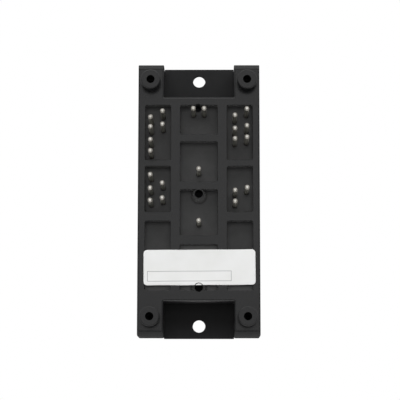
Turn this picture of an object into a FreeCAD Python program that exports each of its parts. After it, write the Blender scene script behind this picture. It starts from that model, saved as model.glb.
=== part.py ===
import FreeCAD, Part
import math
import os
import Sketcher
from FreeCAD import Vector

# A three phase bridge rectifier module for mounting between a heat sink and a circuit board.
# Units are millimetres. +Z is up, out of the terminals, and the length runs along Y. The
# origin is the centre of the copper face that meets the heat sink.

SIZES = (
    ("body_height", 12.5, "heat sink face to the top of the ribs"),
    ("base_step", 0.1, "how far the copper face stands proud of the housing"),
    ("end_length", 11.75, "outside of an end wall to the end of its flange"),
    ("flange_thickness", 2.6, "heat sink face to the top of a flange"),
    ("block_width", 8.5, "corner block, across the module"),
    ("block_setback", 0.25, "corner block end behind the flange end"),
    ("block_corner_round", 0.5, "upright outer corners of the blocks"),
    ("flange_corner_round", 0.25, "upright corners of the flange end"),
    ("recess_corner_round", 0.3, "upright corner of end wall and block"),
    ("end_round_radius", 3.0, "rolled upper end of a corner block"),
    ("end_round_drop", 2.67, "height of that roll"),
    ("rim_round", 0.5, "outer edges of the top"),
    ("pocket_rim_round", 0.1, "edges of the pockets' mouths"),
    ("mounting_hole", 4.2, "diameter"),
    ("mounting_hole_inset", 4.1, "flange end to the hole's centre"),
    ("boss_diameter", 6.5, "outside of a screw boss"),
    ("boss_height", 4.5, "top of the ribs to the board's underside"),
    ("boss_side_inset", 4.2, "long side to the boss's centre"),
    ("boss_end_inset", 6.5, "flange end to the boss's centre"),
    ("boss_edge_round", 0.3, "edge of a boss's top"),
    ("boss_bore", 2.7, "upper diameter of the screw hole"),
    ("boss_bore_depth", 6.0, "down to the ledge"),
    ("boss_pilot", 1.5, "lower diameter of the screw hole"),
    ("boss_pilot_depth", 12.5, "down to the blind end"),
    ("pocket_depth", 4.3, "top of the ribs to the pocket floor"),
    ("pocket_draft", 1.5, "degrees of draft on pocket walls"),
    ("pocket_corner_round", 0.6, "upright corners of the pockets"),
    ("roof_thickness", 1.4, "pocket floor to the cavity's ceiling"),
    ("side_wall", 2.3, "outside of a long side to the pocket"),
    ("far_end_wall", 2.6, "outside of the far end wall to the pockets"),
    ("near_end_wall", 3.5, "outside of the near end wall to the pockets"),
    ("side_pocket_width", 8.6, "across a side column"),
    ("column_rib", 3.05, "rib between the centre and side columns"),
    ("side_rib_upper_reach", 22.2, "far end to a cross rib in the side columns"),
    ("side_rib_upper_width", 2.0, "its width"),
    ("side_rib_lower_reach", 40.05, "far end to a cross rib in the side columns"),
    ("side_rib_lower_width", 2.9, "its width"),
    ("middle_rib_upper_reach", 13.75, "far end to a cross rib in the centre column"),
    ("middle_rib_upper_width", 2.3, "its width"),
    ("middle_rib_centre_reach", 29.75, "far end to a cross rib in the centre column"),
    ("middle_rib_centre_width", 2.5, "its width"),
    ("middle_rib_lower_reach", 47.9, "far end to a cross rib in the centre column"),
    ("middle_rib_lower_width", 2.8, "its width"),
    ("far_vent_reach", 3.2, "far end to the vent hole between the paired pins"),
    ("far_vent_shift", -0.3, "that hole from the centre line"),
    ("far_vent", 2.0, "its diameter"),
    ("middle_vent_reach", 32.54, "far end to the filling hole at the middle"),
    ("near_vent_inset", 4.4, "near end to the other filling hole"),
    ("filling_hole", 2.7, "diameter of the two filling holes"),
    ("vent_wall", 0.35, "upper wall of the conical collars round those holes"),
    ("vent_taper", 14.0, "degrees of draft outside those collars"),
    ("ejector_mark", 2.3, "diameter of the shallow ejector marks"),
    ("ejector_mark_depth", 0.12, "their depth"),
    ("ejector_mark_inset", 2.1, "side of the first centre pocket to a mark's centre"),
    ("ejector_mark_far_reach", 4.8, "far end to the far pair of marks"),
    ("ejector_mark_near_reach", 10.0, "far end to the near pair of marks"),
    ("cavity_side_wall", 3.0, "outside of a long side to the cavity"),
    ("cavity_end_wall", 2.4, "outside of an end wall to the cavity"),
    ("cavity_corner_round", 1.0, "upright corners of the cavity"),
    ("core_wall", 1.4, "walls round the cores of the corner blocks"),
    ("core_roof", 2.4, "left above the cores"),
    ("core_column", 4.9, "length kept round each screw hole"),
    ("core_round", 0.2, "upright corners of the cores"),
    ("ceramic_side_inset", 1.8, "outside of a long side to the substrate"),
    ("ceramic_end_inset", 1.2, "outside of an end wall to the substrate"),
    ("ceramic_thickness", 0.63, "substrate"),
    ("ceramic_corner_round", 0.8, "substrate"),
    ("seat_clearance", 0.15, "round the substrate in its seat"),
    ("copper_thickness", 0.3, "both copper layers"),
    ("copper_margin", 1.4, "bare ceramic round the base copper"),
    ("adhesive_thickness", 0.1, "between the ceramic and the housing"),
    ("track_gap", 1.0, "between copper areas"),
    ("track_corner_round", 0.6, "corners of the copper areas"),
    ("track_side_gap", 0.2, "cavity's side wall to the copper areas"),
    ("track_end_gap", 0.6, "cavity's end wall to the copper areas"),
    ("track_split_reach", 22.1, "far end to the gap between the far and middle areas"),
    ("track_plus_margin", 7.0, "last side pin's foot to the gap before the near area"),
    ("spine_width", 5.8, "width of the minus track"),
    ("feeder_width", 2.0, "width of the phase a feeder"),
    ("chip_side", 5.5, "square diode chip"),
    ("chip_thickness", 0.35, "diode chip"),
    ("chip_margin", 0.95, "edge of a track to the chips beside the minus track"),
    ("chip_edge_gap", 0.15, "edge of the phase c track to its chip"),
    ("chip_far_reach", 16.0, "far end to the two far chips"),
    ("chip_phase_c_reach", 25.8, "far end to the chip on the phase c track"),
    ("chip_plus_reach", 26.6, "far end to the chip on the plus track's arm"),
    ("chip_near_margin", 4.5, "gap before the near area to the two near chips' centres"),
    ("wire_diameter", 0.38, "aluminium bond wire"),
    ("wire_pitch", 0.7, "between parallel wires"),
    ("wire_inset", 0.7, "bond foot from a track's edge"),
    ("wire_foot_diameter", 0.56, "pressed foot of a bond wire"),
    ("wire_foot_height", 0.26, "pressed foot of a bond wire"),
    ("gel_headroom", 0.8, "gel's surface to the cavity's ceiling"),
    ("pin_diameter", 1.5, "terminal pin"),
    ("pin_over_boss", 3.5, "board's underside to the pin's tip"),
    ("pin_tip_chamfer", 0.4, "terminal pin"),
    ("pin_foot_diameter", 2.2, "soldered foot of a pin"),
    ("pin_foot_height", 0.5, "soldered foot of a pin"),
    ("pin_clearance", 0.12, "round a pin in the pocket floor"),
    ("pin_to_chip", 0.45, "between a chip and the foot of an inner pin"),
    ("pin_column_pitch", 3.9, "inner to outer pin columns"),
    ("outer_pin_inset", 4.4, "long side to the outer pin columns"),
    ("paired_pin_x", 1.77, "two pins at the far end"),
    ("label_gap", 7.9, "last centre pin to the sticker"),
    ("label_height", 11.9, "sticker, along the module"),
    ("label_end_margin", 5.1, "near end to the sticker"),
    ("label_side_margin", 1.78, "long side to the sticker, before its shift"),
    ("label_shift", 0.25, "sticker's centre from the centre line"),
    ("label_corner_round", 1.2, "sticker"),
    ("label_thickness", 0.12, "sticker"),
)

# Pin columns from left to right, with each pin's distance from the outside of the far end wall.
PIN_COLUMNS = (
    ("left_outer", (8.1, 11.3, 15.6, 19.3, 27.2, 31.65, 35.7)),
    ("left_inner", (6.1, 10.5, 30.0, 34.9)),
    ("centre", (5.3, 5.3, 25.3, 42.35)),
    ("right_inner", (7.5, 11.9, 15.3, 32.4, 36.0)),
    ("right_outer", (5.4, 11.0, 14.8, 31.5)),
)

# Sizes that follow from the ones above: the module is as wide as the chips and pins beside the
# minus track need, and as long as the pins, the sticker and the space between them need.
FOLLOWING = (
    ("chip_column_x", "spine_width / 2 + track_gap + chip_margin + chip_side / 2",
     "chips beside the minus track"),
    ("inner_pin_x", "chip_column_x + chip_side / 2 + pin_to_chip + pin_foot_diameter / 2",
     "inner pin columns"),
    ("outer_pin_x", "inner_pin_x + pin_column_pitch", "outer pin columns"),
    ("body_width", "2 * (outer_pin_x + outer_pin_inset)", "over the long sides"),
    ("body_length",
     "pin_centre_4_reach + pin_diameter / 2 + label_gap + label_height + label_end_margin",
     "over the two end walls"),
    ("total_length", "body_length + 2 * end_length", "over the two mounting flanges"),
    ("flange_width", "body_width - 2 * block_width", "between the corner blocks"),
    ("track_plus_reach", "pin_right_inner_5_reach + pin_foot_diameter / 2 + track_plus_margin",
     "far end to the gap between the middle and near areas"),
    ("chip_near_reach", "track_plus_reach + chip_near_margin", "far end to the two near chips"),
    ("mounting_hole_spacing", "total_length - 2 * mounting_hole_inset", "flange holes"),
    ("boss_spacing_across", "body_width - 2 * boss_side_inset", "between screw bosses"),
    ("boss_spacing_along", "total_length - 2 * boss_end_inset", "between screw bosses"),
    ("boss_top", "body_height + boss_height", "heat sink face to the board's underside"),
    ("pin_top", "boss_top + pin_over_boss", "heat sink face to the pin's tip"),
    ("middle_pocket_width", "body_width - 2 * (side_wall + side_pocket_width + column_rib)",
     "across the centre column"),
    ("ejector_mark_x", "middle_pocket_width / 2 - ejector_mark_inset", "from the centre line"),
    ("cavity_width", "body_width - 2 * cavity_side_wall", "inside the housing"),
    ("cavity_length", "body_length - 2 * cavity_end_wall", "inside the housing"),
    ("ceramic_width", "body_width - 2 * ceramic_side_inset", "substrate"),
    ("ceramic_length", "body_length - 2 * ceramic_end_inset", "substrate"),
    ("track_half_width", "cavity_width / 2 - track_side_gap", "outer edge of the copper areas"),
    ("track_half_length", "cavity_length / 2 - track_end_gap", "end edges of the copper areas"),
    ("feeder_x", "spine_width / 2 + track_gap + feeder_width / 2", "middle of the feeder"),
    ("phase_c_chip_x", "feeder_x + feeder_width / 2 + track_gap + chip_edge_gap + chip_side / 2",
     "chip on the phase c track"),
    ("near_corner_chip_x", "(track_half_width + feeder_x + chip_side / 2) / 2",
     "midway between the near centre chip and the copper's edge"),
    ("gel_top", "body_height - pocket_depth - roof_thickness - gel_headroom",
     "heat sink face to the gel's surface"),
    ("label_width", "body_width - 2 * label_side_margin", "sticker, across the module"),
)

WIRE_SWEEP = 120
SMALL = 1e-4


class Size:
    """A length that carries both its number and the sheet expression that gives it."""

    def __init__(self, number, text):
        self.number = number
        self.text = text

    def __add__(self, other):
        return joined(self, "+", other)

    def __radd__(self, other):
        return joined(other, "+", self)

    def __sub__(self, other):
        return joined(self, "-", other)

    def __rsub__(self, other):
        return joined(other, "-", self)

    def __mul__(self, other):
        return joined(self, "*", other)

    def __rmul__(self, other):
        return joined(other, "*", self)

    def __truediv__(self, other):
        return joined(self, "/", other)

    def __neg__(self):
        return joined(0, "-", self)


def as_size(value):
    """Wraps a plain number, so that it can stand beside sizes from the sheet."""
    if isinstance(value, Size):
        return value
    return Size(float(value), str(value))


def joined(left, sign, right):
    """Joins two sizes by one of the four signs of arithmetic."""
    first = as_size(left)
    second = as_size(right)
    results = {
        "+": first.number + second.number,
        "-": first.number - second.number,
        "*": first.number * second.number,
        "/": first.number / second.number if second.number else 0.0,
    }
    return Size(results[sign], f"({first.text} {sign} {second.text})")


def write_sheet(doc):
    """Writes the driving dimensions to a sheet and returns them as sizes by name."""
    sheet = doc.addObject("Spreadsheet::Sheet", "Sizes")
    rows = list(SIZES)
    for column, places in PIN_COLUMNS:
        for number, place in enumerate(places, start=1):
            rows.append((f"pin_{column}_{number}_reach", place, "far end to one pin"))
    rows += [(alias, f"={formula}", note) for alias, formula, note in FOLLOWING]
    for row, (alias, value, note) in enumerate(rows, start=1):
        sheet.set(f"A{row}", alias)
        sheet.set(f"B{row}", str(value))
        sheet.setAlias(f"B{row}", alias)
        sheet.set(f"C{row}", note)
    doc.recompute()
    return {row[0]: Size(float(sheet.get(row[0])), f"Sizes.{row[0]}") for row in rows}


def bind(target, path, size):
    """Binds one property of an object to the sheet."""
    target.setExpression(path, as_size(size).text)


def new_body(doc, name):
    """Makes an empty body whose label names its file."""
    body = doc.addObject("PartDesign::Body", name)
    body.Label = name
    return body


def origin_plane(body, role):
    """Finds one of the body's own origin planes."""
    return next(feature for feature in body.Origin.OriginFeatures if feature.Role == role)


def new_sketch(body, name, plane="XY_Plane", lift=None):
    """Makes a sketch on one of the body's origin planes, lifted along its normal."""
    sketch = body.newObject("Sketcher::SketchObject", name)
    sketch.AttachmentSupport = [(origin_plane(body, plane), "")]
    sketch.MapMode = "FlatFace"
    if lift is not None:
        bind(sketch, "AttachmentOffset.Base.z", lift)
    return sketch


def fix_distance(sketch, kind, geometry, point, size, name):
    """Holds one point at a bound distance from the sketch's origin."""
    if abs(size.number) < SMALL:
        axis = -2 if kind == "DistanceX" else -1
        sketch.addConstraint(Sketcher.Constraint("PointOnObject", geometry, point, axis))
        return
    constraint = Sketcher.Constraint(kind, -1, 1, geometry, point, size.number)
    index = sketch.addConstraint(constraint)
    sketch.renameConstraint(index, name)
    bind(sketch, f"Constraints.{name}", size)


def fix_size(sketch, kind, geometry, size, name):
    """Binds the radius or diameter of a circle or arc."""
    index = sketch.addConstraint(Sketcher.Constraint(kind, geometry, size.number))
    sketch.renameConstraint(index, name)
    bind(sketch, f"Constraints.{name}", size)


def add_circle(sketch, name, x, y, diameter):
    """Draws a circle with a bound centre and diameter."""
    centre = Vector(as_size(x).number, as_size(y).number, 0)
    circle = Part.Circle(centre, Vector(0, 0, 1), diameter.number / 2)
    index = sketch.addGeometry(circle)
    fix_distance(sketch, "DistanceX", index, 3, as_size(x), f"{name}_x")
    fix_distance(sketch, "DistanceY", index, 3, as_size(y), f"{name}_y")
    fix_size(sketch, "Diameter", index, diameter, f"{name}_diameter")


def add_outline(sketch, name, corners, radii=None):
    """Draws a closed outline of level and upright lines, with tangent arcs at rounded corners."""
    count = len(corners)
    radii = radii or [None] * count
    points = [Vector(as_size(x).number, as_size(y).number, 0) for x, y in corners]
    steps = []
    for index in range(count):
        step = points[(index + 1) % count] - points[index]
        steps.append(step.normalize())
    cuts = [radius.number if radius else 0.0 for radius in radii]
    lines = []
    for index in range(count):
        following = (index + 1) % count
        start = points[index] + steps[index] * cuts[index]
        end = points[following] - steps[index] * cuts[following]
        lines.append(sketch.addGeometry(Part.LineSegment(start, end)))
    for index in range(count):
        add_corner(sketch, f"{name}_{index}", lines[index - 1], lines[index], points[index],
                   steps[index - 1], steps[index], radii[index])
    for index, line in enumerate(lines):
        upright = abs(steps[index].x) < abs(steps[index].y)
        sketch.addConstraint(Sketcher.Constraint("Vertical" if upright else "Horizontal", line))
        kind = "DistanceX" if upright else "DistanceY"
        place = corners[index][0] if upright else corners[index][1]
        fix_distance(sketch, kind, line, 1, as_size(place), f"{name}_{index}_place")


def add_corner(sketch, name, before, after, corner, arriving, leaving, radius):
    """Joins two lines of an outline at a corner, sharp or by a tangent arc."""
    if radius is None:
        sketch.addConstraint(Sketcher.Constraint("Coincident", before, 2, after, 1))
        return
    centre = corner - arriving * radius.number + leaving * radius.number
    left_turn = arriving.cross(leaving).z > 0
    first = corner - arriving * radius.number if left_turn else corner + leaving * radius.number
    start = math.atan2(first.y - centre.y, first.x - centre.x)
    circle = Part.Circle(centre, Vector(0, 0, 1), radius.number)
    arc = sketch.addGeometry(Part.ArcOfCircle(circle, start, start + math.pi / 2))
    near_end, far_end = (1, 2) if left_turn else (2, 1)
    sketch.addConstraint(Sketcher.Constraint("Tangent", before, 2, arc, near_end))
    sketch.addConstraint(Sketcher.Constraint("Tangent", arc, far_end, after, 1))
    fix_size(sketch, "Radius", arc, radius, f"{name}_radius")


def add_rectangle(sketch, name, left, right, near, far, radius=None):
    """Draws a rectangle, with all its corners rounded where a radius is given."""
    corners = [(left, near), (right, near), (right, far), (left, far)]
    add_outline(sketch, name, corners, [radius] * 4)


def add_pad(body, sketch, name, length):
    """Raises a sketch by a bound length."""
    feature = body.newObject("PartDesign::Pad", name)
    feature.Profile = sketch
    bind(feature, "Length", length)
    return feature


def add_pocket(body, sketch, name, depth, upward=False, draft=None):
    """Cuts a sketch down, or up, by a bound depth."""
    feature = body.newObject("PartDesign::Pocket", name)
    feature.Profile = sketch
    feature.Reversed = upward
    bind(feature, "Length", depth)
    if draft is not None:
        bind(feature, "TaperAngle", draft)
    return feature


def add_rounding(body, name, radius, chosen):
    """Rounds the edges of the body that the given test picks out."""
    body.Document.recompute()
    base = body.Tip
    names = []
    for number, edge in enumerate(base.Shape.Edges, start=1):
        if chosen(edge):
            names.append(f"Edge{number}")
    feature = body.newObject("PartDesign::Fillet", name)
    feature.Base = (base, names)
    bind(feature, "Radius", radius)
    return feature


def at_height(edge, height):
    """Says whether the whole edge lies at one height."""
    return all(abs(vertex.Z - height) < SMALL for vertex in edge.Vertexes)


def from_far_end(sizes, name):
    """Gives the Y of a place that is measured from the outside of the far end wall."""
    return sizes["body_length"] / 2 - sizes[name]


def from_near_end(sizes, name):
    """Gives the Y of a place that is measured from the outside of the near end wall."""
    return sizes[name] - sizes["body_length"] / 2


def pin_places(sizes):
    """Lists each pin's node name and its place in the plan."""
    across = {
        "left_outer": -sizes["outer_pin_x"],
        "left_inner": -sizes["inner_pin_x"],
        "right_inner": sizes["inner_pin_x"],
        "right_outer": sizes["outer_pin_x"],
    }
    pair = [-sizes["paired_pin_x"], sizes["paired_pin_x"], as_size(0), as_size(0)]
    places = []
    for column, along in PIN_COLUMNS:
        for number in range(1, len(along) + 1):
            x = pair[number - 1] if column == "centre" else across[column]
            name = f"pin_{column}_{number}"
            places.append((name, x, from_far_end(sizes, f"{name}_reach")))
    return places


def pocket_places(sizes):
    """Lists the ten pockets as name, left, right, near and far edges."""
    middle = sizes["middle_pocket_width"] / 2
    inner = middle + sizes["column_rib"]
    outer = sizes["body_width"] / 2 - sizes["side_wall"]
    far = from_far_end(sizes, "far_end_wall")
    near = from_near_end(sizes, "near_end_wall")

    def rows(ribs):
        edges = [far]
        for rib in ribs:
            half = sizes[f"{rib}_width"] / 2
            middle_of_rib = from_far_end(sizes, f"{rib}_reach")
            edges += [middle_of_rib + half, middle_of_rib - half]
        edges.append(near)
        return [(edges[index + 1], edges[index]) for index in range(0, len(edges), 2)]

    side_rows = rows(("side_rib_upper", "side_rib_lower"))
    middle_rows = rows(("middle_rib_upper", "middle_rib_centre", "middle_rib_lower"))
    columns = (
        ("Left", -outer, -inner, side_rows),
        ("Middle", -middle, middle, middle_rows),
        ("Right", inner, outer, side_rows),
    )
    places = []
    for column, left, right, column_rows in columns:
        for number, (low, high) in enumerate(column_rows, start=1):
            places.append((f"{column}Pocket{number}", left, right, low, high))
    return places


def vent_places(sizes):
    """Lists the three round holes through the roof as name, X, Y and diameter."""
    filling = sizes["filling_hole"]
    return (
        ("far", sizes["far_vent_shift"], from_far_end(sizes, "far_vent_reach"), sizes["far_vent"]),
        ("middle", as_size(0), from_far_end(sizes, "middle_vent_reach"), filling),
        ("near", as_size(0), from_near_end(sizes, "near_vent_inset"), filling),
    )


def boss_places(sizes):
    """Lists the four screw bosses as name, X and Y."""
    across = sizes["boss_spacing_across"] / 2
    along = sizes["boss_spacing_along"] / 2
    return (
        ("far_left", -across, along),
        ("far_right", across, along),
        ("near_left", -across, -along),
        ("near_right", across, -along),
    )


def housing_outline(sizes):
    """Gives the plan of the body and its four corner blocks, with the corner radii."""
    side = sizes["body_width"] / 2
    inner = sizes["flange_width"] / 2
    wall = sizes["body_length"] / 2
    end = sizes["total_length"] / 2 - sizes["block_setback"]
    outer_round = sizes["block_corner_round"]
    recess_round = sizes["recess_corner_round"]
    corners = [
        (-side, -end), (-inner, -end), (-inner, -wall), (inner, -wall), (inner, -end), (side, -end),
        (side, end), (inner, end), (inner, wall), (-inner, wall), (-inner, end), (-side, end),
    ]
    half = [outer_round, outer_round, recess_round, recess_round, outer_round, outer_round]
    return corners, half + half


def cut_block_ends(body, sizes):
    """Rolls the upper end of each corner block down to its upright end face."""
    top = sizes["body_height"]
    end = sizes["total_length"] / 2 - sizes["block_setback"]
    radius = sizes["end_round_radius"]
    drop = sizes["end_round_drop"]
    beyond = end + radius
    above = top + radius
    sketch = new_sketch(body, "BlockEndProfile", "YZ_Plane")
    centre = Vector((end - radius).number, (top - drop).number, 0)
    sweep = math.asin(drop.number / radius.number)
    circle = Part.Circle(centre, Vector(0, 0, 1), radius.number)
    arc = sketch.addGeometry(Part.ArcOfCircle(circle, 0, sweep))
    crest_y = centre.x + radius.number * math.cos(sweep)
    path = [
        Vector(end.number, centre.y, 0),
        Vector(beyond.number, centre.y, 0),
        Vector(beyond.number, above.number, 0),
        Vector(crest_y, above.number, 0),
        Vector(crest_y, top.number, 0),
    ]
    lines = [sketch.addGeometry(Part.LineSegment(*pair)) for pair in zip(path, path[1:])]
    joins = [(arc, 1, lines[0], 1), (lines[3], 2, arc, 2)]
    joins += [(lines[index], 2, lines[index + 1], 1) for index in range(3)]
    for join in joins:
        sketch.addConstraint(Sketcher.Constraint("Coincident", *join))
    for index, line in enumerate(lines):
        kind = "Vertical" if index % 2 else "Horizontal"
        sketch.addConstraint(Sketcher.Constraint(kind, line))
    sketch.addConstraint(Sketcher.Constraint("Horizontal", arc, 3, arc, 1))
    fix_distance(sketch, "DistanceX", arc, 3, end - radius, "centre_y")
    fix_distance(sketch, "DistanceY", arc, 3, top - drop, "centre_z")
    fix_distance(sketch, "DistanceY", arc, 2, top, "crest_z")
    fix_size(sketch, "Radius", arc, radius, "roll_radius")
    fix_distance(sketch, "DistanceX", lines[1], 1, beyond, "beyond_y")
    fix_distance(sketch, "DistanceY", lines[2], 1, above, "above_z")
    cut = body.newObject("PartDesign::Pocket", "BlockEndCut")
    cut.Profile = sketch
    cut.Type = "ThroughAll"
    cut.Midplane = True
    mirror = body.newObject("PartDesign::Mirrored", "BlockEndMirror")
    mirror.Originals = [cut]
    mirror.MirrorPlane = (origin_plane(body, "XZ_Plane"), [""])
    body.Tip = mirror


def hollow_underside(body, sizes):
    """Opens the cavity, the substrate's seat and the cores of the corner blocks from below."""
    floor = sizes["base_step"]
    ceiling = sizes["body_height"] - sizes["pocket_depth"] - sizes["roof_thickness"]
    across = sizes["cavity_width"] / 2
    along = sizes["cavity_length"] / 2
    cavity = new_sketch(body, "CavityPlan", lift=floor)
    add_rectangle(cavity, "cavity", -across, across, -along, along, sizes["cavity_corner_round"])
    add_pocket(body, cavity, "Cavity", ceiling - floor, upward=True)

    across = sizes["ceramic_width"] / 2 + sizes["seat_clearance"]
    along = sizes["ceramic_length"] / 2 + sizes["seat_clearance"]
    rounding = sizes["ceramic_corner_round"] + sizes["seat_clearance"]
    seat = new_sketch(body, "SubstrateSeatPlan", lift=floor)
    add_rectangle(seat, "seat", -across, across, -along, along, rounding)
    ceiling = sizes["copper_thickness"] + sizes["ceramic_thickness"] + sizes["adhesive_thickness"]
    add_pocket(body, seat, "SubstrateSeat", ceiling - floor, upward=True)

    wall = sizes["core_wall"]
    inner = sizes["flange_width"] / 2 + wall
    outer = sizes["body_width"] / 2 - wall
    boss = sizes["boss_spacing_along"] / 2
    column = sizes["core_column"] / 2
    seat_end = sizes["ceramic_length"] / 2 + sizes["seat_clearance"]
    block_end = sizes["total_length"] / 2 - sizes["block_setback"]
    spans = (("inner", seat_end + wall, boss - column), ("outer", boss + column, block_end - wall))
    ceiling = sizes["body_height"] - sizes["core_roof"]
    for name, x, y in boss_places(sizes):
        left, right = (inner, outer) if x.number > 0 else (-outer, -inner)
        cores = new_sketch(body, f"core_plan_{name}", lift=floor)
        for part, low, high in spans:
            near, far = (low, high) if y.number > 0 else (-high, -low)
            add_rectangle(cores, part, left, right, near, far, sizes["core_round"])
        add_pocket(body, cores, f"cores_{name}", ceiling - floor, upward=True)


def make_housing(doc, sizes):
    """Builds the black moulding: frame, ribbed top, flanges, corner blocks and screw bosses."""
    body = new_body(doc, "housing")
    floor = sizes["base_step"]
    top = sizes["body_height"]

    plan = new_sketch(body, "BodyPlan", lift=floor)
    corners, radii = housing_outline(sizes)
    add_outline(plan, "body", corners, radii)
    add_pad(body, plan, "BodyBlock", top - floor)

    flanges = new_sketch(body, "FlangePlan", lift=floor)
    across = sizes["flange_width"] / 2
    root = sizes["body_length"] / 2 - sizes["side_wall"]
    end = sizes["total_length"] / 2
    rounding = sizes["flange_corner_round"]
    far_plan = [(-across, root), (across, root), (across, end), (-across, end)]
    near_plan = [(across, -root), (-across, -root), (-across, -end), (across, -end)]
    for name, corners in (("far", far_plan), ("near", near_plan)):
        add_outline(flanges, name, corners, [None, None, rounding, rounding])
    add_pad(body, flanges, "Flanges", sizes["flange_thickness"] - floor)

    cut_block_ends(body, sizes)
    hollow_underside(body, sizes)

    for name, left, right, near, far in pocket_places(sizes):
        sketch = new_sketch(body, f"{name}Plan", lift=top)
        add_rectangle(sketch, name, left, right, near, far, sizes["pocket_corner_round"])
        add_pocket(body, sketch, name, sizes["pocket_depth"], draft=-sizes["pocket_draft"])

    through_roof = sizes["pocket_depth"] + sizes["roof_thickness"]
    collars = new_sketch(body, "VentCollarPlan", lift=top)
    holes = new_sketch(body, "VentHolePlan", lift=top)
    for name, x, y, diameter in vent_places(sizes):
        add_circle(holes, name, x, y, diameter)
        if name != "far":
            add_circle(collars, name, x, y, diameter + sizes["vent_wall"] * 2)
    cones = add_pad(body, collars, "VentCollars", through_roof)
    cones.Reversed = True
    bind(cones, "TaperAngle", sizes["vent_taper"])
    add_pocket(body, holes, "VentHoles", through_roof)

    def at_rim(edge):
        return at_height(edge, top.number)

    def in_field(edge):
        across = sizes["body_width"].number / 2 - sizes["side_wall"].number + SMALL
        along = sizes["body_length"].number / 2 - sizes["far_end_wall"].number + SMALL
        return all(abs(vertex.X) < across and abs(vertex.Y) < along for vertex in edge.Vertexes)

    add_rounding(body, "RimRounding", sizes["rim_round"],
                 lambda edge: at_rim(edge) and not in_field(edge))
    add_rounding(body, "PocketRimRounding", sizes["pocket_rim_round"],
                 lambda edge: at_rim(edge) and in_field(edge))

    bosses = new_sketch(body, "BossPlan", lift=top)
    bores = new_sketch(body, "BossBorePlan", lift=sizes["boss_top"])
    pilots = new_sketch(body, "BossPilotPlan", lift=sizes["boss_top"])
    for name, x, y in boss_places(sizes):
        add_circle(bosses, name, x, y, sizes["boss_diameter"])
        add_circle(bores, name, x, y, sizes["boss_bore"])
        add_circle(pilots, name, x, y, sizes["boss_pilot"])
    add_pad(body, bosses, "Bosses", sizes["boss_top"] - top)
    boss_top = sizes["boss_top"].number
    add_rounding(body, "BossRounding", sizes["boss_edge_round"],
                 lambda edge: at_height(edge, boss_top))
    add_pocket(body, bores, "BossBores", sizes["boss_bore_depth"])
    add_pocket(body, pilots, "BossPilots", sizes["boss_pilot_depth"])

    flange_holes = new_sketch(body, "MountingHolePlan", lift=sizes["flange_thickness"])
    for name, sign in (("far", 1), ("near", -1)):
        y = sizes["mounting_hole_spacing"] / 2 * sign
        add_circle(flange_holes, name, 0, y, sizes["mounting_hole"])
    add_pocket(body, flange_holes, "MountingHoles", sizes["flange_thickness"])

    pin_holes = new_sketch(body, "PinHolePlan", lift=top - sizes["pocket_depth"])
    hole = sizes["pin_diameter"] + sizes["pin_clearance"] * 2
    for name, x, y in pin_places(sizes):
        add_circle(pin_holes, name, x, y, hole)
    add_pocket(body, pin_holes, "PinHoles", sizes["roof_thickness"])

    for side, sign in (("Left", -1), ("Right", 1)):
        marks = new_sketch(body, f"{side}MarkPlan", lift=top - sizes["pocket_depth"])
        for row in ("far", "near"):
            y = from_far_end(sizes, f"ejector_mark_{row}_reach")
            add_circle(marks, row, sizes["ejector_mark_x"] * sign, y, sizes["ejector_mark"])
        add_pocket(body, marks, f"{side}EjectorMarks", sizes["ejector_mark_depth"])
    return body


def make_plate(doc, name, outline, lift, thickness, radii=None):
    """Builds a flat piece from its outline, the height of its underside and its thickness."""
    body = new_body(doc, name)
    sketch = new_sketch(body, f"{name}_plan", lift=lift)
    add_outline(sketch, "edge", outline, radii)
    add_pad(body, sketch, f"{name}_plate", thickness)
    return body


def rectangle(half_width, half_length):
    """Gives the corners of a rectangle centred on the origin."""
    return [(-half_width, -half_length), (half_width, -half_length),
            (half_width, half_length), (-half_width, half_length)]


def make_substrate(doc, sizes):
    """Builds the ceramic plate with its base copper, and the glue frame that holds it."""
    copper = sizes["copper_thickness"]
    ceramic = rectangle(sizes["ceramic_width"] / 2, sizes["ceramic_length"] / 2)
    rounding = [sizes["ceramic_corner_round"]] * 4
    margin = sizes["copper_margin"]
    base = rectangle(sizes["ceramic_width"] / 2 - margin, sizes["ceramic_length"] / 2 - margin)
    glue_height = copper + sizes["ceramic_thickness"]
    bodies = [
        make_plate(doc, "base_copper", base, as_size(0), copper, rounding),
        make_plate(doc, "ceramic_substrate", ceramic, copper, sizes["ceramic_thickness"], rounding),
    ]
    seal = new_body(doc, "adhesive_seal")
    sketch = new_sketch(seal, "adhesive_seal_plan", lift=glue_height)
    add_outline(sketch, "outer", ceramic, rounding)
    across = sizes["cavity_width"] / 2
    along = sizes["cavity_length"] / 2
    add_rectangle(sketch, "inner", -across, across, -along, along, sizes["cavity_corner_round"])
    add_pad(seal, sketch, "adhesive_seal_frame", sizes["adhesive_thickness"])
    bodies.append(seal)
    return bodies


def track_outlines(sizes):
    """Gives the outline of each copper area on top of the ceramic."""
    side = sizes["track_half_width"]
    gap = sizes["track_gap"]
    far = sizes["track_half_length"]
    near = -far
    split = from_far_end(sizes, "track_split_reach")
    plus = from_far_end(sizes, "track_plus_reach")
    split_far = split + gap / 2
    split_near = split - gap / 2
    plus_far = plus + gap / 2
    plus_near = plus - gap / 2
    spine = sizes["spine_width"] / 2
    beside = spine + gap
    feeder = beside + sizes["feeder_width"]
    middle = feeder + gap
    return {
        "track_phase_a": [(-side, split_far), (-feeder, split_far), (-feeder, plus_far),
                          (-beside, plus_far), (-beside, far), (-side, far)],
        "track_phase_b": [(beside, split_far), (side, split_far), (side, far), (beside, far)],
        "track_phase_c": [(-side, plus_far), (-middle, plus_far), (-middle, split_near),
                          (-side, split_near)],
        "track_minus": [(-spine, plus_far), (spine, plus_far), (spine, far), (-spine, far)],
        "track_plus": [(-side, near), (side, near), (side, split_near), (beside, split_near),
                       (beside, plus_near), (-side, plus_near)],
    }


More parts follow.
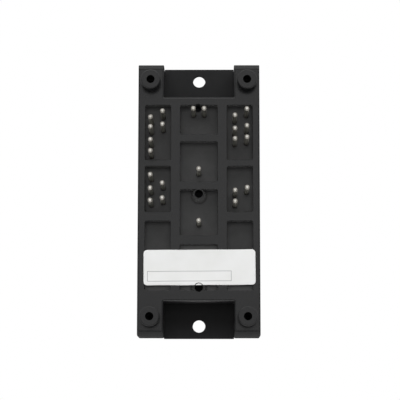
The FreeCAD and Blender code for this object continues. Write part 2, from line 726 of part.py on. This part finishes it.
def wire_runs(sizes):
    """Gives each chip's bond: its direction in the plan and where its wires land."""
    inset = sizes["wire_inset"]
    spine = sizes["spine_width"] / 2
    half_gap = sizes["track_gap"] / 2
    phase_foot = from_far_end(sizes, "track_plus_reach") + half_gap + inset
    far_foot = from_far_end(sizes, "track_split_reach") + half_gap + inset
    return {
        "upper_a": ("along", phase_foot),
        "upper_b": ("along", far_foot),
        "upper_c": ("along", phase_foot),
        "lower_a": ("across", -spine + inset),
        "lower_b": ("across", spine - inset),
        "lower_c": ("across", -spine + inset),
    }


def chip_place(sizes, name):
    """Gives the centre of one diode chip."""
    column = sizes["chip_column_x"]
    places = {
        "upper_a": (-sizes["feeder_x"], "chip_near_reach"),
        "upper_b": (column, "chip_plus_reach"),
        "upper_c": (-sizes["near_corner_chip_x"], "chip_near_reach"),
        "lower_a": (-column, "chip_far_reach"),
        "lower_b": (column, "chip_far_reach"),
        "lower_c": (-sizes["phase_c_chip_x"], "chip_phase_c_reach"),
    }
    x, reach = places[name]
    return x, from_far_end(sizes, reach)


def make_chip(doc, sizes, name):
    """Builds one square diode chip on its copper area."""
    body = new_body(doc, f"diode_{name}")
    x, y = chip_place(sizes, name)
    half = sizes["chip_side"] / 2
    lift = sizes["copper_thickness"] * 2 + sizes["ceramic_thickness"]
    sketch = new_sketch(body, f"diode_{name}_plan", lift=lift)
    add_rectangle(sketch, "chip", x - half, x + half, y - half, y + half)
    add_pad(body, sketch, f"diode_{name}_slab", sizes["chip_thickness"])
    return body


def make_wires(doc, sizes, name):
    """Builds a chip's three parallel bond wires, each an arched loop between two pressed feet."""
    direction, landing = wire_runs(sizes)[name]
    track_top = sizes["copper_thickness"] * 2 + sizes["ceramic_thickness"]
    chip_top = track_top + sizes["chip_thickness"]
    x, y = chip_place(sizes, name)
    start = x if direction == "across" else y
    reach = landing - start
    sign = 1 if reach.number > 0 else -1
    half_sweep = math.radians(WIRE_SWEEP / 2)
    loop_radius = reach * sign / (2 * math.sin(half_sweep))
    end_height = chip_top + sizes["wire_foot_height"] / 2
    centre_height = end_height - loop_radius * math.cos(half_sweep)
    middle = (landing + start) / 2
    if direction == "across":
        upright = FreeCAD.Rotation(Vector(1, 0, 0), 90)
    else:
        upright = FreeCAD.Rotation(Vector(0, 1, 0), Vector(0, 0, 1), Vector(1, 0, 0), "ZXY")
    turn = upright.multiply(FreeCAD.Rotation(Vector(0, 0, 1), 90 - WIRE_SWEEP / 2))
    pieces = []
    for number in (-1, 0, 1):
        offset = sizes["wire_pitch"] * number
        loop = doc.addObject("Part::Torus", f"loop_{name}_{number + 2}")
        bind(loop, "Radius1", loop_radius)
        bind(loop, "Radius2", sizes["wire_diameter"] / 2)
        loop.Angle3 = WIRE_SWEEP
        loop.Placement = FreeCAD.Placement(Vector(0, 0, 0), turn)
        rows = [(loop, middle, centre_height)]
        feet = (("chip", start, chip_top, 0), ("track", landing, track_top, sizes["chip_thickness"]))
        for end, place, base, extra in feet:
            foot = doc.addObject("Part::Cylinder", f"{end}_foot_{name}_{number + 2}")
            bind(foot, "Radius", sizes["wire_foot_diameter"] / 2)
            bind(foot, "Height", sizes["wire_foot_height"] + extra)
            rows.append((foot, place, base))
        for piece, run, height in rows:
            place = (run, y + offset, height) if direction == "across" else (x + offset, run, height)
            for axis, size in zip("xyz", place):
                bind(piece, f"Placement.Base.{axis}", size)
        wire = doc.addObject("Part::MultiFuse", f"wire_{name}_{number + 2}")
        wire.Shapes = [row[0] for row in rows]
        pieces.append(wire)
    group = doc.addObject("Part::Compound", f"bond_wires_{name}")
    group.Label = f"bond_wires_{name}"
    group.Links = pieces
    return group


def make_pin(doc, sizes, name, x, y):
    """Turns one terminal pin: soldered foot, round shank and chamfered tip."""
    body = new_body(doc, name)
    bottom = sizes["copper_thickness"] * 2 + sizes["ceramic_thickness"]
    shank = sizes["pin_diameter"] / 2
    foot = sizes["pin_foot_diameter"] / 2
    shoulder = bottom + sizes["pin_foot_height"]
    chamfer = sizes["pin_tip_chamfer"]
    top = sizes["pin_top"]
    zero = as_size(0)
    profile = [(zero, bottom), (foot, bottom), (foot, shoulder), (shank, shoulder),
               (shank, top - chamfer), (shank - chamfer, top), (zero, top)]
    sketch = new_sketch(body, f"{name}_profile", "XZ_Plane")
    points = [Vector(across.number, up.number, 0) for across, up in profile]
    lines = []
    for index in range(len(points)):
        following = points[(index + 1) % len(points)]
        lines.append(sketch.addGeometry(Part.LineSegment(points[index], following)))
    for index in range(len(lines)):
        sketch.addConstraint(Sketcher.Constraint("Coincident", lines[index - 1], 2, lines[index], 1))
    for index, (across, up) in enumerate(profile):
        fix_distance(sketch, "DistanceX", lines[index], 1, across, f"point_{index}_r")
        fix_distance(sketch, "DistanceY", lines[index], 1, up, f"point_{index}_z")
    turned = body.newObject("PartDesign::Revolution", f"{name}_turned")
    turned.Profile = sketch
    turned.ReferenceAxis = (sketch, ["V_Axis"])
    turned.Angle = 360
    bind(body, "Placement.Base.x", x)
    bind(body, "Placement.Base.y", y)
    return body


def make_gel(doc, sizes, buried):
    """Fills the cavity's lower part with gel, round everything that it buries."""
    body = new_body(doc, "gel_block")
    bottom = sizes["copper_thickness"] + sizes["ceramic_thickness"]
    across = sizes["cavity_width"] / 2
    along = sizes["cavity_length"] / 2
    sketch = new_sketch(body, "gel_plan", lift=bottom)
    add_rectangle(sketch, "gel", -across, across, -along, along, sizes["cavity_corner_round"])
    add_pad(body, sketch, "gel_fill", sizes["gel_top"] - bottom)
    inserts = doc.addObject("Part::Compound", "buried_pieces")
    inserts.Links = buried
    gel = doc.addObject("Part::Cut", "silicone_gel")
    gel.Label = "silicone_gel"
    gel.Base = body
    gel.Tool = inserts
    return gel


def make_label(doc, sizes):
    """Builds the sticker that lies over the near pockets."""
    across = sizes["label_width"] / 2
    shift = sizes["label_shift"]
    near = from_near_end(sizes, "label_end_margin")
    far = near + sizes["label_height"]
    left = shift - across
    right = shift + across
    outline = [(left, near), (right, near), (right, far), (left, far)]
    rounding = [sizes["label_corner_round"]] * 4
    return make_plate(doc, "label", outline, sizes["body_height"], sizes["label_thickness"], rounding)


def check_features(doc):
    """Stops the script if any object failed, or a cut removed nothing."""
    for item in doc.Objects:
        if "Invalid" in item.State or "Error" in item.State:
            raise RuntimeError(f"{item.Name} failed: {item.State}")
        if item.TypeId == "PartDesign::Pocket" and item.BaseFeature is not None:
            if item.Shape.Volume > item.BaseFeature.Shape.Volume - SMALL:
                raise RuntimeError(f"{item.Name} cut nothing")


def write_parts(parts):
    """Checks each sub-part's shape and writes it to a file named after its node."""
    os.makedirs("parts", exist_ok=True)
    for part in parts:
        shape = part.Shape
        if shape.isNull() or not shape.isValid() or not shape.Solids:
            raise RuntimeError(f"{part.Label} has no valid solid")
        shape.exportStep(os.path.join("parts", f"{part.Label}.step"))
        box = shape.BoundBox
        print(f"{part.Label}: {len(shape.Solids)} solid, {shape.Volume:.2f} mm3, "
              f"z {box.ZMin:.2f} to {box.ZMax:.2f}")


def main():
    doc = FreeCAD.newDocument("RectifierModule")
    sizes = write_sheet(doc)
    parts = [make_housing(doc, sizes)]
    parts += make_substrate(doc, sizes)
    buried = []
    lift = sizes["copper_thickness"] + sizes["ceramic_thickness"]
    for name, outline in track_outlines(sizes).items():
        radii = [sizes["track_corner_round"]] * len(outline)
        buried.append(make_plate(doc, name, outline, lift, sizes["copper_thickness"], radii))
    for name in wire_runs(sizes):
        buried.append(make_chip(doc, sizes, name))
        buried.append(make_wires(doc, sizes, name))
    for name, x, y in pin_places(sizes):
        buried.append(make_pin(doc, sizes, name, x, y))
    doc.recompute()
    parts += buried
    parts.append(make_gel(doc, sizes, buried))
    parts.append(make_label(doc, sizes))
    doc.recompute()
    check_features(doc)
    write_parts(parts)


main()
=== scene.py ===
import math

import bmesh
import bpy
from mathutils import Matrix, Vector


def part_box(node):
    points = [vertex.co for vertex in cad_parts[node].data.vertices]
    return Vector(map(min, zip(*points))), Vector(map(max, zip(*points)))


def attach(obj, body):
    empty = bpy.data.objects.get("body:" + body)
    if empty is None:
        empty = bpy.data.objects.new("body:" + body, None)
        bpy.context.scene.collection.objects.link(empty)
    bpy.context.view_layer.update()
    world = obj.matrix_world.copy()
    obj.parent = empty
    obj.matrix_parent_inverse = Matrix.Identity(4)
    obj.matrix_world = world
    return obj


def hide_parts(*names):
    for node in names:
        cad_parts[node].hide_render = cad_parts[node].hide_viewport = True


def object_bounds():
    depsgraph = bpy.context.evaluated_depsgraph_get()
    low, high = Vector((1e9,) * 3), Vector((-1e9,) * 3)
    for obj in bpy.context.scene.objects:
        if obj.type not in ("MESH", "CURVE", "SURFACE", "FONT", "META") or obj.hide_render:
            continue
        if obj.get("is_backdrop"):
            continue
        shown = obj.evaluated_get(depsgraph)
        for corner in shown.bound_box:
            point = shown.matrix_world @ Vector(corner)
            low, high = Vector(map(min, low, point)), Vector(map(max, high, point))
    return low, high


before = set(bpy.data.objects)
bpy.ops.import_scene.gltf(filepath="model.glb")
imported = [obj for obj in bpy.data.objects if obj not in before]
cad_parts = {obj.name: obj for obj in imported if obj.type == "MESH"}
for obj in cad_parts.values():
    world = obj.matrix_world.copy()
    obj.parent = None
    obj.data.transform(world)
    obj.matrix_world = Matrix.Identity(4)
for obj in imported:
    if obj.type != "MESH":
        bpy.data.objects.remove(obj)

# The module lies flat on a white table, its terminals up, and is seen from almost straight
# above, a little from the near end. The camera stands half a metre over it.
MM = 0.001
cad_low, cad_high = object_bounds()
scene = bpy.context.scene
scene.view_settings.view_transform = "Standard"

camera_data = bpy.data.cameras.new("camera")
camera_data.sensor_width = 36.0
camera_data.lens = 134.7
camera_data.clip_start = 0.01
camera_data.clip_end = 20.0
camera = bpy.data.objects.new("camera", camera_data)
camera.location = (4.23 * MM, -72.1 * MM, 501.5 * MM)
camera.rotation_euler = (math.radians(8.317), math.radians(0.444), math.radians(0.042))
scene.collection.objects.link(camera)
scene.camera = camera


# The table and the room: a matt white sheet under a light tent. The tent has a soft window above
# the far end, glows behind it and weaker at both sides, and has a low strip towards the viewer.
class Socket:
    """A shader value that takes part in ordinary arithmetic."""

    def __init__(self, material, output):
        self.material = material
        self.output = output

    def __add__(self, other):
        return self.material.maths("ADD", self, other)

    def __radd__(self, other):
        return self.material.maths("ADD", other, self)

    def __sub__(self, other):
        return self.material.maths("SUBTRACT", self, other)

    def __rsub__(self, other):
        return self.material.maths("SUBTRACT", other, self)

    def __mul__(self, other):
        return self.material.maths("MULTIPLY", self, other)

    def __rmul__(self, other):
        return self.material.maths("MULTIPLY", other, self)

    def __abs__(self):
        return self.material.maths("ABSOLUTE", self)


class Material:
    """A node material that is built from expressions."""

    def __init__(self, name, kind="Material"):
        self.data = (bpy.data.worlds if kind == "World" else bpy.data.materials).new(name)
        self.data.use_nodes = True
        self.nodes = self.data.node_tree.nodes
        self.links = self.data.node_tree.links
        self.nodes.clear()
        self.end = self.nodes.new("ShaderNodeOutput" + kind)

    def node(self, kind, settings=None, output=0, **inputs):
        """Adds a node: its settings first, then the values or links of its sockets."""
        made = self.nodes.new("ShaderNode" + kind)
        for name, value in (settings or {}).items():
            setattr(made, name, value)
        for name, value in inputs.items():
            numbered = name[0] == "i" and name[1:].isdigit()
            key = int(name[1:]) if numbered else name.replace("_", " ")
            if isinstance(value, Socket):
                self.links.new(value.output, made.inputs[key])
            else:
                made.inputs[key].default_value = value
        return Socket(self, made.outputs[output])

    def maths(self, operation, *values):
        """Adds a Math node, and takes its values in the order of its sockets."""
        named = {f"i{index}": value for index, value in enumerate(values)}
        return self.node("Math", {"operation": operation}, **named)

    def place(self, output="Object"):
        """Gives a point on the piece, in metres, or a direction in the room."""
        return self.node("TexCoord", output=output)

    def parts(self, vector, axes="XYZ"):
        """Gives the parts of a point or a direction along these axes."""
        return [self.node("SeparateXYZ", output=axis, Vector=vector) for axis in axes]

    def noise(self, where, size, detail=2.0, roughness=0.5):
        """Gives smooth noise whose lumps are about as large as size, in metres."""
        return self.node("TexNoise", Vector=where, Scale=1.0 / size, Detail=detail,
                         Roughness=roughness)

    def ramp(self, value, low, high, bottom=0.0, top=1.0):
        """Carries a value from the range low to high onto bottom to top, and holds it there."""
        return self.node("MapRange", {"clamp": True}, Value=value, i1=low, i2=high, i3=bottom,
                         i4=top)

    def blend(self, factor, first, second):
        """Mixes two colours."""
        return self.node("Mix", {"data_type": "RGBA"}, output=2, i0=factor, i6=first, i7=second)

    def bump(self, height, distance, strength):
        """Turns a height into small changes of the surface's direction."""
        return self.node("Bump", Height=height, Distance=distance, Strength=strength)

    def finish(self, shader):
        """Joins a shader to the output, and gives the material or world."""
        self.links.new(shader.output, self.end.inputs["Surface"])
        return self.data


SHADOW_REACH = 35.0 * MM
SHADOW_DEPTH = 0.2
TABLE_REACH = 3.0
TABLE_DROP = 0.02 * MM


def white_backdrop(name, shade, low, high):
    """A matt white that is plain white where the camera, a gloss or a glass looks at it.

    A gloss sees a painted shadow: the table's glow fades towards the object's footprint.
    """
    material = Material(name)
    x, y = material.parts(material.place(), "XY")
    away = material.maths("MAXIMUM", abs(x) - max(abs(low.x), high.x),
                          abs(y) - max(abs(low.y), high.y))
    seen = material.node("LightPath", output="Is Camera Ray")
    gloss = material.node("LightPath", output="Is Glossy Ray")
    through = material.node("LightPath", output="Is Transmission Ray")
    # Painted shadow: what a gloss sees of the table's glow fades towards the object.
    painted_shadow_glow = material.ramp(away, 0.0, SHADOW_REACH, SHADOW_DEPTH, 1.0)
    plain_white = material.maths("MAXIMUM", seen, through)
    paper = material.node("BsdfDiffuse", Color=(shade, shade, shade, 1.0))
    glow = material.node("Emission", Color=(1.0, 1.0, 1.0, 1.0),
                         Strength=material.maths("MAXIMUM", painted_shadow_glow, plain_white))
    mask = material.maths("MAXIMUM", plain_white, gloss)
    return material.finish(material.node("MixShader", i0=mask, i1=paper, i2=glow))


shape = bmesh.new()
bmesh.ops.create_grid(shape, x_segments=1, y_segments=1, size=TABLE_REACH)
table_mesh = bpy.data.meshes.new("table")
shape.to_mesh(table_mesh)
shape.free()
table = bpy.data.objects.new("table", table_mesh)
table.location = (0.0, 0.0, -TABLE_DROP)
table_mesh.materials.append(white_backdrop("white_table", 0.8, cad_low, cad_high))
scene.collection.objects.link(table)
table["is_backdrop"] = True

WINDOW_TILT = math.radians(10.0)
WINDOW_RADIUS = math.radians(7.0)
WINDOW_FADE_RADIUS = math.radians(16.0)
TENT_LEVEL = 0.16
WINDOW_LEVEL = 0.92
GLOW_LEVEL = 1.8
FRONT_LEVEL = 1.5
room = Material("room", "World")
x, y, z = room.parts(room.place("Generated"))
window = room.ramp(y * math.sin(WINDOW_TILT) + z * math.cos(WINDOW_TILT),
                   math.cos(WINDOW_FADE_RADIUS), math.cos(WINDOW_RADIUS))
glow = room.ramp(z, 0.80, 0.66) * room.ramp(z, 0.0, 0.40, 0.35, 1.0) * room.ramp(y, -0.35, 0.15)
glow = glow * room.ramp(abs(x), 0.5, 0.8, 1.0, 0.35)
front = room.ramp(z, 0.55, 0.25) * room.ramp(y, -0.5, -0.8)
scene.world = room.finish(room.node(
    "Background", Color=(1.0, 1.0, 1.0, 1.0),
    Strength=TENT_LEVEL + window * WINDOW_LEVEL + glow * GLOW_LEVEL + front * FRONT_LEVEL))

lamp_data = bpy.data.lights.new("fill_lamp", "AREA")
lamp_data.shape = "DISK"
lamp_data.size = 0.8
lamp_data.energy = 3.9
lamp = bpy.data.objects.new("fill_lamp", lamp_data)
lamp.location = (0.0, 0.0, 1.0)
lamp.visible_glossy = False
scene.collection.objects.link(lamp)


def dress(names, material):
    """Gives the CAD nodes of these names one material."""
    for name in names:
        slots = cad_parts[name].data.materials
        slots.clear()
        slots.append(material)


# The housing is one moulding of black, glass-filled thermoplastic. Polished steel shaped its top
# and pockets, grained steel its screw flanges and outer sides. The pocket floors are painted
# lighter, unevenly, as painted light; their walls, a faint ring round each vent and the strips
# beside the sticker carry painted light too, the top edge of the near end wall a painted
# highlight, and the near screw flange painted shade.
BLACK_PLASTIC = (0.0030, 0.0032, 0.0036, 1.0)
PALER_PLASTIC = (0.0085, 0.0085, 0.0090, 1.0)
# Painted light and shade: the next three colours are painted light, and the fourth is painted
# shade.
PAINTED_FLOOR_LIGHT = (0.046, 0.046, 0.046, 1.0)
PAINTED_WALL_LIGHT = (0.090, 0.090, 0.089, 1.0)
PAINTED_LIGHT_PLASTIC = (0.140, 0.140, 0.139, 1.0)
SHADED_PLASTIC = (0.0005, 0.0005, 0.0006, 1.0)
RIB_TOP = 12.5 * MM
POCKET_FLOOR = 8.2 * MM
END_WALL = 34.0 * MM
BLOCK_SIDE = 11.5 * MM
POCKETS_EDGE = 19.0 * MM
LAST_RIB = 15.9 * MM
VENTS = ((-0.3, 30.8, 1.04), (0.0, 1.46, 1.40), (0.0, -29.6, 1.40))
plastic = Material("black_plastic")
where = plastic.place()
x, y, z = plastic.parts(where)
cloud = plastic.noise(where, 5.0 * MM, 3.0, 0.55)
grain = plastic.noise(where, 0.22 * MM, 2.0, 0.6)
speck = plastic.noise(where, 0.08 * MM, 1.0, 0.5)
recess = (plastic.ramp(abs(y), END_WALL - 0.1 * MM, END_WALL + 0.1 * MM)
          * plastic.ramp(z, RIB_TOP - 0.1 * MM, RIB_TOP - 0.4 * MM))
outer = plastic.maths("MAXIMUM", plastic.ramp(abs(x), 19.7 * MM, 20.0 * MM),
                      plastic.ramp(abs(y), 43.3 * MM, 44.4 * MM))
grained = plastic.maths("MAXIMUM", recess, outer)
hollow = (plastic.ramp(abs(y), END_WALL - 0.1 * MM, END_WALL - 0.2 * MM)
          * plastic.ramp(abs(x), POCKETS_EDGE, POCKETS_EDGE - 0.1 * MM))
wall = (hollow * plastic.ramp(z, POCKET_FLOOR + 0.1 * MM, POCKET_FLOOR + 0.6 * MM)
        * plastic.ramp(z, RIB_TOP - 0.05 * MM, RIB_TOP - 0.2 * MM))
shade = plastic.ramp(cloud * 0.7 + speck * 0.3, 0.38, 0.62)
pocket_floor = (hollow * plastic.ramp(z, POCKET_FLOOR - 0.3 * MM, POCKET_FLOOR - 0.2 * MM)
                * plastic.ramp(z, POCKET_FLOOR + 0.3 * MM, POCKET_FLOOR + 0.15 * MM))
colour = plastic.blend(shade, BLACK_PLASTIC, PALER_PLASTIC)
# Painted light: the pocket floors are painted lighter, unevenly.
colour = plastic.blend(pocket_floor * plastic.ramp(cloud, 0.35, 0.65, 0.7, 1.0), colour,
                       PAINTED_FLOOR_LIGHT)
# Painted light: the pocket walls are painted lighter.
colour = plastic.blend(wall, colour, PAINTED_WALL_LIGHT)
bore = 0.0
collar = 0.0
for hole_x, hole_y, radius in VENTS:
    offset = plastic.node("Mapping", Vector=where, Location=(-hole_x * MM, -hole_y * MM, 0.0),
                          Scale=(1.0, 1.0, 0.0))
    span = plastic.node("VectorMath", {"operation": "LENGTH"}, output="Value", i0=offset)
    bore = bore + plastic.ramp(span, radius * MM, (radius - 0.05) * MM)
    collar = collar + plastic.ramp(span, 3.2 * MM, 3.0 * MM)
beyond_label = plastic.ramp(y, -28.0 * MM, -29.2 * MM)
before_label = (plastic.ramp(abs(y + LAST_RIB), 1.5 * MM, 0.9 * MM)
                * plastic.ramp(abs(x), 6.4 * MM, 6.2 * MM))
strip = (hollow * plastic.ramp(z, RIB_TOP - 0.2 * MM, RIB_TOP - 0.3 * MM)
         * plastic.maths("MAXIMUM", beyond_label, before_label))
# Painted light: the strips beside the sticker and a faint ring round each vent on the pocket walls
# are painted lighter.
colour = plastic.blend(plastic.maths("MAXIMUM", collar * wall * 0.3, strip), colour, PAINTED_LIGHT_PLASTIC)
colour = plastic.blend(bore, colour, BLACK_PLASTIC)
# Painted highlight along the top edge of the near end wall.
rim = (plastic.ramp(y, 0.15 * MM - END_WALL, -END_WALL)
       * plastic.ramp(y, -0.6 * MM - END_WALL, -0.45 * MM - END_WALL)
       * plastic.ramp(z, 5.0 * MM, RIB_TOP - 0.3 * MM)
       * plastic.ramp(abs(x), BLOCK_SIDE - 0.1 * MM, 2.0 * MM))
colour = plastic.blend(rim, colour, PAINTED_LIGHT_PLASTIC)
# Painted shade: the near screw flange is painted almost black, darkest next to the end wall.
shaded = (plastic.ramp(y, 0.1 * MM - END_WALL, -0.3 * MM - END_WALL)
          * plastic.ramp(y, -45.0 * MM, -40.0 * MM))
colour = plastic.blend(shaded * recess, colour, SHADED_PLASTIC)
rough = plastic.ramp(cloud * 0.5 + grain * 0.5, 0.35, 0.65, 0.20, 0.28) + grained * 0.42
rough = rough + pocket_floor * 0.22 + bore * 0.6
normal = plastic.bump(grain * 0.7 + speck * 0.3, 0.004 * MM, 0.6)
housing_skin = plastic.finish(plastic.node(
    "BsdfPrincipled", Base_Color=colour, Roughness=rough, Normal=normal, IOR=1.5))
dress(["housing"], housing_skin)

# The terminal pins are drawn copper wire coated with matt tin, and soldered to the tracks below.
# The sides of the stems are rougher, and painted darker tin as painted shade. The chamfer of
# each tip is painted dark brown as painted shade.
TIN = (0.80, 0.79, 0.75, 1.0)
DULL_TIN = (0.66, 0.65, 0.60, 1.0)
SHADED_STEM_TIN = (0.34, 0.33, 0.28, 1.0)
SHADED_CHAMFER = (0.10, 0.075, 0.05, 1.0)
tin = Material("matt_tin")
where = tin.place()
along = tin.node("Mapping", Vector=where, Scale=(1.0, 1.0, 0.08))
streak = tin.noise(along, 0.15 * MM, 2.0, 0.5)
patch = tin.noise(where, 1.2 * MM, 2.0, 0.5)
wear = tin.ramp(streak * 0.5 + patch * 0.5, 0.4, 0.6)
facing, = tin.parts(tin.node("NewGeometry", output="Normal"), "Z")
# Painted shade: the tip chamfer, found by its slope, is painted dark brown below.
edge = tin.ramp(facing, 0.35, 0.5) * tin.ramp(facing, 0.95, 0.85)
stem = tin.ramp(facing, 0.5, 0.35)
# Painted shade: the stem sides are painted darker tin.
coating = tin.blend(stem * 0.8, tin.blend(wear, TIN, DULL_TIN), SHADED_STEM_TIN)
tin_skin = tin.finish(tin.node(
    "BsdfPrincipled", Base_Color=tin.blend(edge * 0.6, coating, SHADED_CHAMFER),
    Metallic=1.0 - stem * 0.05 - edge * 0.3,
    Roughness=tin.ramp(wear, 0.0, 1.0, 0.20, 0.28) + stem * 0.2 + edge * 0.25,
    Normal=tin.bump(streak, 0.004 * MM, 0.4)))
pins = [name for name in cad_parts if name.startswith("pin_")]
dress(pins, tin_skin)

# The sticker is white polyester film, die-cut with round corners and pressed on the ribs by hand,
# so that it lies a little askew and sags over the hollows. Its place for printing is bare.
FILM = (0.87, 0.875, 0.87, 1.0)
FILM_AGED = (0.83, 0.835, 0.82, 1.0)
INK = (0.16, 0.16, 0.17, 1.0)
TURN = math.radians(0.33)
CORNER = 1.2 * MM
FILM_THICKNESS = 0.10 * MM
EDGE_WAVE = 0.035 * MM
GRID_STEP = 0.35 * MM
HOLLOWS = ((-17.9, -9.3, 0.22), (-6.25, 6.25, 0.16), (9.3, 17.9, 0.13))
low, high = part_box("label")
centre = (low + high) / 2
size = high - low
shape = bmesh.new()
bmesh.ops.create_grid(shape, x_segments=1, y_segments=1, size=0.5)
bmesh.ops.scale(shape, vec=(size.x - 0.10 * MM, size.y - 0.24 * MM, 1.0), verts=shape.verts)
bmesh.ops.bevel(shape, geom=shape.verts[:], offset=CORNER, segments=8, profile=0.5,
                affect="VERTICES", material=-1)
for axis, reach in ((0, size.x / 2), (1, size.y / 2)):
    steps = round(reach / GRID_STEP)
    for step in range(1 - steps, steps):
        plane = [0.0, 0.0, 0.0]
        plane[axis] = reach * step / steps
        normal = [float(axis == 0), float(axis == 1), 0.0]
        bmesh.ops.bisect_plane(shape, geom=shape.verts[:] + shape.edges[:] + shape.faces[:],
                               plane_co=plane, plane_no=normal)
for left, right, sag in HOLLOWS:
    for vert in shape.verts:
        across = (vert.co.x + centre.x - left * MM) / ((right - left) * MM)
        if 0.0 < across < 1.0:
            swell = 1.0 + 0.25 * math.sin(vert.co.y / size.y * 5.0 + left)
            vert.co.z -= sag * MM * swell * math.sin(math.pi * across) ** 2
for vert in shape.verts:
    vert.co.y += EDGE_WAVE * math.sin(vert.co.x / (2.4 * MM) + 0.6)
bmesh.ops.rotate(shape, cent=(0.0, 0.0, 0.0), matrix=Matrix.Rotation(TURN, 3, "Z"),
                 verts=shape.verts)
bmesh.ops.translate(shape, vec=(centre.x, centre.y, high.z - 0.01 * MM), verts=shape.verts)
bmesh.ops.recalc_face_normals(shape, faces=shape.faces)
bmesh.ops.solidify(shape, geom=shape.faces[:], thickness=FILM_THICKNESS)
bmesh.ops.recalc_face_normals(shape, faces=shape.faces)
sticker_mesh = bpy.data.meshes.new("sticker")
shape.to_mesh(sticker_mesh)
shape.free()
for face in sticker_mesh.polygons:
    face.use_smooth = abs(face.normal.z) > 0.7
sticker = bpy.data.objects.new("sticker", sticker_mesh)
scene.collection.objects.link(sticker)
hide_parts("label")
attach(sticker, "root")

BOX_HALF_WIDTH = 13.75 * MM
BOX_HALF_HEIGHT = 1.62 * MM
film = Material("white_film")
where = film.place()
turned = film.node("Mapping", Vector=where, Rotation=(0.0, 0.0, -TURN))
u, v = film.parts(turned, "XY")
fibre = film.noise(where, 0.5 * MM, 2.0, 0.5)
tone = film.noise(where, 7.0 * MM, 2.0, 0.5)
outside = film.maths("MAXIMUM", abs(u + 3.25 * MM) - BOX_HALF_WIDTH,
                     abs(v + 25.8 * MM) - BOX_HALF_HEIGHT)
frame_line = film.ramp(abs(outside), 0.075 * MM, 0.045 * MM)
white = film.blend(film.ramp(tone, 0.35, 0.7), FILM, FILM_AGED)
film_skin = film.finish(film.node(
    "BsdfPrincipled", Base_Color=film.blend(frame_line, white, INK),
    Roughness=film.ramp(fibre, 0.3, 0.7, 0.34, 0.42), Normal=film.bump(fibre, 0.006 * MM, 0.3)))
sticker_mesh.materials.append(film_skin)

# Underneath, the copper of the substrate faces the heat sink: rolled copper, brushed along the
# module and stained by handling.
BRIGHT_COPPER = (0.78, 0.42, 0.28, 1.0)
STAINED_COPPER = (0.52, 0.25, 0.16, 1.0)
copper = Material("rolled_copper")
where = copper.place()
brushed = copper.noise(copper.node("Mapping", Vector=where, Scale=(1.0, 0.04, 1.0)), 0.12 * MM)
stain = copper.ramp(copper.noise(where, 9.0 * MM, 4.0, 0.6), 0.42, 0.66)
copper_skin = copper.finish(copper.node(
    "BsdfPrincipled", Base_Color=copper.blend(stain, BRIGHT_COPPER, STAINED_COPPER), Metallic=1.0,
    Roughness=copper.ramp(brushed * 0.4 + stain * 0.6, 0.2, 0.8, 0.26, 0.46),
    Normal=copper.bump(brushed, 0.003 * MM, 0.5)))
dress(["base_copper", "track_minus", "track_plus"]
      + [f"track_phase_{phase}" for phase in "abc"], copper_skin)


# The other inner pieces: white alumina, grey glue, dark silicon chips, aluminium wires and clear
# silicone gel. They are closed in, and show only through the holes of the pocket floors.
def plain(name, colour, spot_size, spread, roughness, **more):
    """A material for a hidden piece: one colour with soft mottling."""
    made = Material(name)
    spot = made.noise(made.place(), spot_size)
    low = tuple(c * (1.0 - spread) for c in colour) + (1.0,)
    high = tuple(min(1.0, c * (1.0 + spread)) for c in colour) + (1.0,)
    return made.finish(made.node("BsdfPrincipled", Base_Color=made.blend(spot, low, high),
                                 Roughness=roughness, **more))


parts = ["upper_a", "upper_b", "upper_c", "lower_a", "lower_b", "lower_c"]
dress(["ceramic_substrate"], plain("alumina", (0.80, 0.79, 0.76), 0.4 * MM, 0.05, 0.55))
dress(["adhesive_seal"], plain("glue", (0.30, 0.30, 0.31), 1.0 * MM, 0.1, 0.5))
dress([f"diode_{part}" for part in parts], plain("chip", (0.08, 0.08, 0.10), 0.6 * MM, 0.2, 0.25))
dress([f"bond_wires_{part}" for part in parts],
      plain("bond_wire", (0.85, 0.86, 0.88), 0.3 * MM, 0.05, 0.35, Metallic=1.0))
dress(["silicone_gel"], plain("gel", (0.012, 0.012, 0.013), 3.0 * MM, 0.05, 0.7, IOR=1.41))

low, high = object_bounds()
